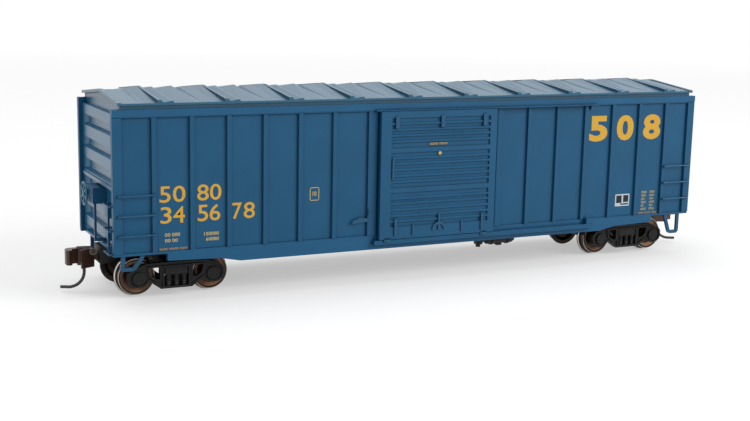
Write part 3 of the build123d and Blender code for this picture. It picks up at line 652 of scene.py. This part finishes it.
def coil_springs(end):
    """Three springs with a core in each side frame."""
    truck_x = middle("bolster_" + end).x
    core = [(SPRING_CORE, 0.0), (SPRING_CORE, SPRING_HIGH.z - SPRING_LOW.z)]
    coils = Shape()
    for y in (-SPRING_Y, SPRING_Y):
        for place in (-SPRING_PITCH, 0.0, SPRING_PITCH):
            x = truck_x + place
            coils.tube(coil(x, y), SPRING_WIRE, sides=8)
            coils.turned((x, y, SPRING_LOW.z), (0, 0, 1), core, sides=16)
    piece = coils.piece("coil_springs_" + end, "truck_" + end, spring_black, "truck_black",
                        smooth=True)
    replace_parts(piece, "springs_" + end)


def wheel_rings(end, place):
    """Bright rim and flange, and the copper dish, on both wheels of an axle."""
    axle = middle("axle_%s_%s" % (end, place))
    rim, dish = Shape(), Shape()
    for sign in (-1, 1):
        for shape, ring in ((rim, rim_ring), (rim, flange_ring), (dish, dish_ring)):
            shape.turned((axle.x, sign * WHEEL_Y, axle.z), (0, sign, 0), ring, sides=72,
                         closed=True)
    body = "wheelset_%s_%s" % (end, place)
    rim.piece("rim_shine_%s_%s" % (end, place), body, bright_metal, "wheel_metal", smooth=True)
    dish.piece("dish_ring_%s_%s" % (end, place), body, copper_metal, "wheel_metal", smooth=True)


def bearing_bolts(end):
    """Three bolt heads round each axle's end."""
    bolts = Shape()
    for place in ("outer", "inner"):
        axle = middle("axle_%s_%s" % (end, place))
        for sign in (-1, 1):
            for angle in map(math.radians, BOLT_ANGLES):
                centre = (axle.x + BOLT_CIRCLE * math.cos(angle), sign * FRAME_Y,
                          axle.z + BOLT_CIRCLE * math.sin(angle))
                bolts.turned(centre, (0, sign, 0), bolt_head, sides=6)
    bolts.piece("bearing_bolts_" + end, "truck_" + end, black_truck, "truck_black")


for end in ("brake", "plain"):
    coil_springs(end)
    for place in ("outer", "inner"):
        wheel_rings(end, place)
    bearing_bolts(end)


# Coupler: ring on the ear beside the head

EAR = (-92.3, -2.05, 11.3)
ear_ring = ((0.72, -0.05), (0.74, 0.06), (0.92, 0.06), (0.96, -0.05))
ring = Shape()
ring.turned(EAR, (0, -1, 0), ear_ring, closed=True)
for end, made in (("brake", ring), ("plain", ring.turned_about())):
    made.piece("ear_ring_" + end, "coupler_" + end, ring_metal, "coupler_metal", smooth=True)


# Rivets on the right door post

POST_EDGE = 21.9
RIVET_INSETS = (1.65, 0.35)
RIVET_START = SIDE_LOW.z + 1.6
RIVET_PITCH = 1.08
RIVET_COUNT = 30
RIVET_RADIUS = 0.13
RIVET_HEIGHT = 0.08
RIVET_ROOT = 0.05
rivet_dome = ((1.0, 0.3), (0.7, 0.85), (0.25, 1.0))  # shares of the radius and the height


def post_rivets():
    profile = [(RIVET_RADIUS, -RIVET_ROOT)]
    profile += [(RIVET_RADIUS * out, RIVET_HEIGHT * up) for out, up in rivet_dome]
    rivets = Shape()
    for inset in RIVET_INSETS:
        for index in range(RIVET_COUNT):
            centre = (POST_EDGE - inset, -SIDE_Y, RIVET_START + index * RIVET_PITCH)
            rivets.turned(centre, (0, -1, 0), profile, sides=8)
    return rivets


on_both_sides("post_rivets", post_rivets(), "car", blue_side)


# Door trim: latch lever, track stop and rollers

SEAT = 0.05  # how far a fitting reaches into what carries it
LEVER_PROUD = 0.35
CLIP_PROUD = 0.3
CLIP_X = (-20.7, -20.4)
PIVOT = ((-21.6, -20.9), (17.9, 18.5))
lever_outline = (
    (-25.5, 17.3), (-25.6, 18.1), (-23.0, 18.9), (-21.0, 18.6), (-20.6, 18.1), (-21.2, 17.7),
)
clip_heights = ((19.5, 21.2), (18.1, 18.5))
STOP_X = (TRACK_END - 2.3, TRACK_END - 1.1)
STOP_Z = (PLATE_BOTTOM - 1.0, PLATE_BOTTOM + 0.3)
STOP_PROUD = 0.5
ROLLER_PLACES = (DOOR_LOW.x + 2.5, DOOR_HIGH.x - 3.3)
ROLLER_HALF_WIDTH = 1.0
ROLLER_Z = (DOOR_LOW.z - 0.8, DOOR_LOW.z + 0.4)
ROLLER_GAP = 0.06
ROLLER_PIN_Z = DOOR_LOW.z - 0.5
roller_pin = ((0.36, -0.1), (0.36, 0.1), (0.2, 0.16))


def latch_lever():
    """Lever beside the left door post, its pivot block, and the clips on the post."""
    lever = Shape()
    lever.plate(lever_outline, -SIDE_Y - LEVER_PROUD, -SIDE_Y - SEAT)
    lever.block(PIVOT[0], (-SIDE_Y - SEAT, -SHEET_Y + SEAT), PIVOT[1])
    for z in clip_heights:
        lever.block(CLIP_X, (-SIDE_Y - CLIP_PROUD, -SIDE_Y + SEAT), z)
    return lever


def track_stop():
    stop = Shape()
    stop.block(STOP_X, (-PLATE_Y - STOP_PROUD, -SHEET_Y + SEAT), STOP_Z)
    return stop


def door_rollers():
    """Two roller boxes under the door, each with its pin."""
    rollers = Shape()
    for x in ROLLER_PLACES:
        rollers.block((x - ROLLER_HALF_WIDTH, x + ROLLER_HALF_WIDTH),
                      (-DOOR_Y, -RAIL_Y - ROLLER_GAP), ROLLER_Z)
        rollers.turned((x, -DOOR_Y, ROLLER_PIN_Z), (0, -1, 0), roller_pin, sides=16)
    return rollers


on_both_sides("latch_lever", latch_lever(), "car", blue_trim)
on_both_sides("track_stop", track_stop(), "car", blue_trim)
on_both_sides("door_rollers", door_rollers(), "door_SIDE", blue_trim)


# Floor and world

FLOOR_HALF = 15.0
FLOOR_COLOUR = (0.62, 0.62, 0.62, 1)
FLOOR_GLOW = 0.45
FLOOR_FADE = (0.25, 1.2)
WORLD_STRENGTH = 0.45


def seen_directly(tree):
    """1 for a ray that shows the background: straight, mirrored or through glass."""
    rays = tree.nodes.new("ShaderNodeLightPath")
    total = rays.outputs["Is Camera Ray"]
    for output in ("Is Glossy Ray", "Is Transmission Ray"):
        node = tree.nodes.new("ShaderNodeMath")
        node.operation = "MAXIMUM"
        tree.links.new(total, node.inputs[0])
        tree.links.new(rays.outputs[output], node.inputs[1])
        total = node.outputs["Value"]
    return total


def floor_finish():
    """Pale floor that keeps the shadow near the object and turns plain white further out."""
    made = Nodes("stage_floor")
    made.surface.inputs["Base Color"].default_value = FLOOR_COLOUR
    made.surface.inputs["Roughness"].default_value = 0.9
    made.surface.inputs["Specular IOR Level"].default_value = 0.0
    seen = seen_directly(made.tree)
    near = made.add("ShaderNodeEmission")
    made.join(made.math("MULTIPLY", seen, FLOOR_GLOW), near.inputs["Strength"])
    lit = made.add("ShaderNodeAddShader")
    made.join(made.surface.outputs["BSDF"], lit.inputs[0])
    made.join(near.outputs["Emission"], lit.inputs[1])
    distance = made.add("ShaderNodeVectorMath", operation="LENGTH")
    made.join(made.place, distance.inputs[0])
    start, end = FLOOR_FADE
    far = made.spread(distance.outputs["Value"], 0.0, 1.0, start, end)
    plain = made.add("ShaderNodeEmission")
    blend = made.add("ShaderNodeMixShader")
    made.join(made.math("MULTIPLY", seen, far), blend.inputs["Fac"])
    made.join(lit.outputs["Shader"], blend.inputs[1])
    made.join(plain.outputs["Emission"], blend.inputs[2])
    made.join(blend.outputs["Shader"], made.tree.nodes["Material Output"].inputs["Surface"])
    return made.material


def floor():
    mesh = bpy.data.meshes.new("stage_floor")
    corners = [(-1, -1), (1, -1), (1, 1), (-1, 1)]
    mesh.from_pydata([(x * FLOOR_HALF, y * FLOOR_HALF, 0) for x, y in corners], [],
                     [(0, 1, 2, 3)])
    mesh.materials.append(floor_finish())
    stage_floor = bpy.data.objects.new("stage_floor", mesh)
    bpy.context.scene.collection.objects.link(stage_floor)


def studio():
    """Even white light, and a white background that is seen but sheds no more light."""
    world = bpy.data.worlds.new("studio")
    world.use_nodes = True
    bpy.context.scene.world = world
    tree = world.node_tree
    lighting = tree.nodes["Background"]
    backdrop = tree.nodes.new("ShaderNodeBackground")
    for node, strength in ((lighting, WORLD_STRENGTH), (backdrop, 1.0)):
        node.inputs["Color"].default_value = (1, 1, 1, 1)
        node.inputs["Strength"].default_value = strength
    blend = tree.nodes.new("ShaderNodeMixShader")
    tree.links.new(seen_directly(tree), blend.inputs["Fac"])
    tree.links.new(lighting.outputs["Background"], blend.inputs[1])
    tree.links.new(backdrop.outputs["Background"], blend.inputs[2])
    tree.links.new(blend.outputs["Shader"], tree.nodes["World Output"].inputs["Surface"])


floor()
studio()


# Lamps

def lamp(name, place, target, size, power):
    light = bpy.data.lights.new(name, "AREA")
    light.shape = "RECTANGLE"
    light.size, light.size_y = size
    light.energy = power
    holder = bpy.data.objects.new(name, light)
    holder.location = place
    aim = Vector(target) - Vector(place)
    holder.rotation_euler = aim.to_track_quat("-Z", "Y").to_euler()
    bpy.context.scene.collection.objects.link(holder)


lamp("key", (0.65, -0.72, 0.52), (0.02, 0, 0.03), (0.6, 0.45), 6.3)
lamp("top", (-0.2, 0.3, 1.3), (0, 0, 0.03), (1.2, 1.0), 6.5)


# Camera, fitted to the photo

CAMERA_TARGET = Vector((-9.259, 0.0, 16.736)) * MM
CAMERA_AZIMUTH = math.radians(-26.216)
CAMERA_ELEVATION = math.radians(10.355)
CAMERA_ROLL = math.radians(1.199)
CAMERA_DISTANCE = 354.157 * MM
FOCAL_PIXELS = 1211.063
PHOTO_WIDTH = 750
SENSOR_WIDTH = 36.0


def camera_axes():
    """The camera's right, up and backward directions."""
    flat = math.cos(CAMERA_ELEVATION)
    back = Vector((math.sin(CAMERA_AZIMUTH) * flat, -math.cos(CAMERA_AZIMUTH) * flat,
                   math.sin(CAMERA_ELEVATION)))
    right = Vector((math.cos(CAMERA_AZIMUTH), math.sin(CAMERA_AZIMUTH), 0.0))
    up = back.cross(right)
    return (math.cos(CAMERA_ROLL) * right + math.sin(CAMERA_ROLL) * up,
            math.cos(CAMERA_ROLL) * up - math.sin(CAMERA_ROLL) * right, back)


def photo_camera():
    data = bpy.data.cameras.new("photo_camera")
    data.sensor_width = SENSOR_WIDTH
    data.lens = FOCAL_PIXELS * SENSOR_WIDTH / PHOTO_WIDTH
    data.clip_start = 0.01
    data.clip_end = 50.0
    camera = bpy.data.objects.new("photo_camera", data)
    right, up, back = camera_axes()
    turn = Matrix((right, up, back)).transposed().to_4x4()
    camera.matrix_world = Matrix.Translation(CAMERA_TARGET + CAMERA_DISTANCE * back) @ turn
    bpy.context.scene.collection.objects.link(camera)
    bpy.context.scene.camera = camera


photo_camera()
bpy.context.scene.view_settings.view_transform = "Standard"
